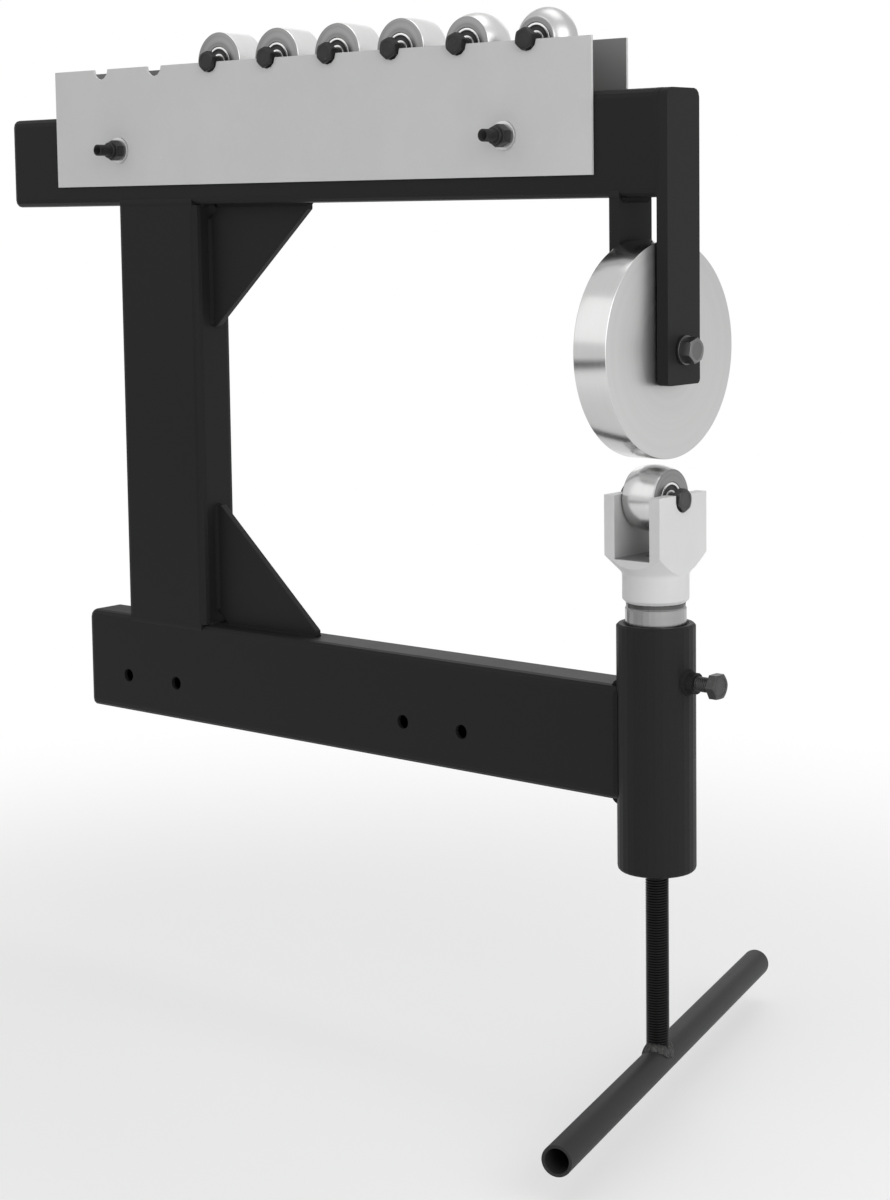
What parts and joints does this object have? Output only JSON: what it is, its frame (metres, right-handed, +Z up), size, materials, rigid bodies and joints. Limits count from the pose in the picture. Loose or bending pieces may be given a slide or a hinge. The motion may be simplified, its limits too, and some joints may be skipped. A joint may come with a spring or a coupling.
{
  "type": "english wheel",
  "caption": "Bench sheet-metal wheeling machine: a welded C frame with a large upper wheel over a screw-raised crowned anvil, and a rack of spare anvils on top.",
  "frame": {"origin": "on the lower arm's underside, in the middle of the stretch that a vise or bench holds", "axes": "+X along the arms towards the wheels and along the wheels' axles, +Y across the frame towards its rear side, +Z up"},
  "size_m": [0.9486, 0.56, 1.0009],
  "materials": {
    "frame_paint": "satin black paint",
    "cap_plastic": "black moulded plastic",
    "blackened_steel": "black oxide",
    "wheel_steel": "fine turned",
    "anvil_steel": "fine turned and polished tread",
    "bearing_steel": "ground steel with dark seals",
    "bright_steel": "bright turned",
    "screw_steel": "oiled dark steel",
    "yoke_paint": "satin light grey",
    "rack_paint": "satin light grey",
    "handle_paint": "satin dark grey",
    "brass": "plain turned"
  },
  "bodies": {
    "frame": {"upper_arm": "frame_paint", "column": "frame_paint", "lower_arm": "frame_paint", "upper_arm_cap": "cap_plastic", "lower_arm_cap": "cap_plastic", "upper_gusset": "frame_paint", "lower_gusset": "frame_paint", "outer_fork_leg": "frame_paint", "inner_fork_leg": "frame_paint", "axle_spacer_outer": "bright_steel", "axle_spacer_inner": "bright_steel", "wheel_axle": "blackened_steel", "wheel_axle_nut": "blackened_steel", "post_housing": "frame_paint", "lead_nut": "bright_steel", "clamp_boss": "frame_paint", "rack_plate_front": "rack_paint", "rack_plate_rear": "rack_paint", "rack_bolt_back": "blackened_steel", "rack_nut_back": "blackened_steel", "rack_bolt_front": "blackened_steel", "rack_nut_front": "blackened_steel"},
    "wheel": {"upper_wheel": "wheel_steel", "wheel_bearing_outer": "bearing_steel", "wheel_bearing_inner": "bearing_steel"},
    "post": {"lower_post": "bright_steel", "thrust_bearing": "bearing_steel", "yoke": "yoke_paint", "yoke_screw": "blackened_steel", "working_pin": "blackened_steel"},
    "anvil": {"working_anvil": "anvil_steel", "working_bearings": "bearing_steel"},
    "screw": {"lead_screw": "screw_steel", "tee_handle": "handle_paint"},
    "clamp_slide": {"clamp_tip": "brass"},
    "clamp_turner": {"clamp_screw": "blackened_steel"},
    "stored_pin_body_1": {"stored_pin_1": "blackened_steel"},
    "stored_anvil_body_1": {"stored_anvil_1": "anvil_steel", "stored_bearings_1": "bearing_steel"},
    "stored_pin_body_2": {"stored_pin_2": "blackened_steel"},
    "stored_anvil_body_2": {"stored_anvil_2": "anvil_steel", "stored_bearings_2": "bearing_steel"},
    "stored_pin_body_3": {"stored_pin_3": "blackened_steel"},
    "stored_anvil_body_3": {"stored_anvil_3": "anvil_steel", "stored_bearings_3": "bearing_steel"},
    "stored_pin_body_4": {"stored_pin_4": "blackened_steel"},
    "stored_anvil_body_4": {"stored_anvil_4": "anvil_steel", "stored_bearings_4": "bearing_steel"},
    "stored_pin_body_5": {"stored_pin_5": "blackened_steel"},
    "stored_anvil_body_5": {"stored_anvil_5": "anvil_steel", "stored_bearings_5": "bearing_steel"},
    "stored_pin_body_6": {"stored_pin_6": "blackened_steel"},
    "stored_anvil_body_6": {"stored_anvil_6": "anvil_steel", "stored_bearings_6": "bearing_steel"}
  },
  "joints": [
    {"name": "wheel_spin", "type": "hinge", "parent": "frame", "child": "wheel", "pos_m": [0.385, 0, 0.421], "axis": [1, 0, 0], "continuous": true},
    {"name": "post_lift", "type": "slide", "parent": "frame", "child": "post", "axis": [0, 0, 1], "range_m": [-0.0201, 0.0056]},
    {"name": "anvil_spin", "type": "hinge", "parent": "post", "child": "anvil", "pos_m": [0.385, 0, 0.284], "axis": [1, 0, 0], "continuous": true},
    {"name": "screw_turn", "type": "hinge", "parent": "post", "child": "screw", "pos_m": [0.385, 0, -0.2495], "axis": [0, 0, 1], "range_deg": [-2880, 792]},
    {"name": "clamp_advance", "type": "slide", "parent": "frame", "child": "clamp_slide", "axis": [1, 0, 0], "range_m": [0, 0.004]},
    {"name": "clamp_turn", "type": "hinge", "parent": "clamp_slide", "child": "clamp_turner", "pos_m": [0.4178, 0, 0.116], "axis": [1, 0, 0], "range_deg": [0, 720]},
    {"name": "stored_lift_1", "type": "slide", "parent": "frame", "child": "stored_pin_body_1", "axis": [0, 0, 1], "range_m": [0, 0.03]},
    {"name": "stored_spin_1", "type": "hinge", "parent": "stored_pin_body_1", "child": "stored_anvil_body_1", "pos_m": [-0.1587, 0.0035, 0.7067], "axis": [0, 1, 0], "continuous": true},
    {"name": "stored_lift_2", "type": "slide", "parent": "frame", "child": "stored_pin_body_2", "axis": [0, 0, 1], "range_m": [0, 0.03]},
    {"name": "stored_spin_2", "type": "hinge", "parent": "stored_pin_body_2", "child": "stored_anvil_body_2", "pos_m": [-0.0746, 0.0035, 0.7067], "axis": [0, 1, 0], "continuous": true},
    {"name": "stored_lift_3", "type": "slide", "parent": "frame", "child": "stored_pin_body_3", "axis": [0, 0, 1], "range_m": [0, 0.03]},
    {"name": "stored_spin_3", "type": "hinge", "parent": "stored_pin_body_3", "child": "stored_anvil_body_3", "pos_m": [0.0095, 0.0035, 0.7067], "axis": [0, 1, 0], "continuous": true},
    {"name": "stored_lift_4", "type": "slide", "parent": "frame", "child": "stored_pin_body_4", "axis": [0, 0, 1], "range_m": [0, 0.03]},
    {"name": "stored_spin_4", "type": "hinge", "parent": "stored_pin_body_4", "child": "stored_anvil_body_4", "pos_m": [0.0936, 0.0035, 0.7067], "axis": [0, 1, 0], "continuous": true},
    {"name": "stored_lift_5", "type": "slide", "parent": "frame", "child": "stored_pin_body_5", "axis": [0, 0, 1], "range_m": [0, 0.03]},
    {"name": "stored_spin_5", "type": "hinge", "parent": "stored_pin_body_5", "child": "stored_anvil_body_5", "pos_m": [0.1777, 0.0035, 0.7067], "axis": [0, 1, 0], "continuous": true},
    {"name": "stored_lift_6", "type": "slide", "parent": "frame", "child": "stored_pin_body_6", "axis": [0, 0, 1], "range_m": [0, 0.03]},
    {"name": "stored_spin_6", "type": "hinge", "parent": "stored_pin_body_6", "child": "stored_anvil_body_6", "pos_m": [0.2618, 0.0035, 0.7067], "axis": [0, 1, 0], "continuous": true}
  ],
  "couplings": [
    {"joint": "post_lift", "follows": "screw_turn", "m_per_rad": 0.00039789},
    {"joint": "clamp_turn", "follows": "clamp_advance", "rad_per_m": 3141.6}
  ]
}
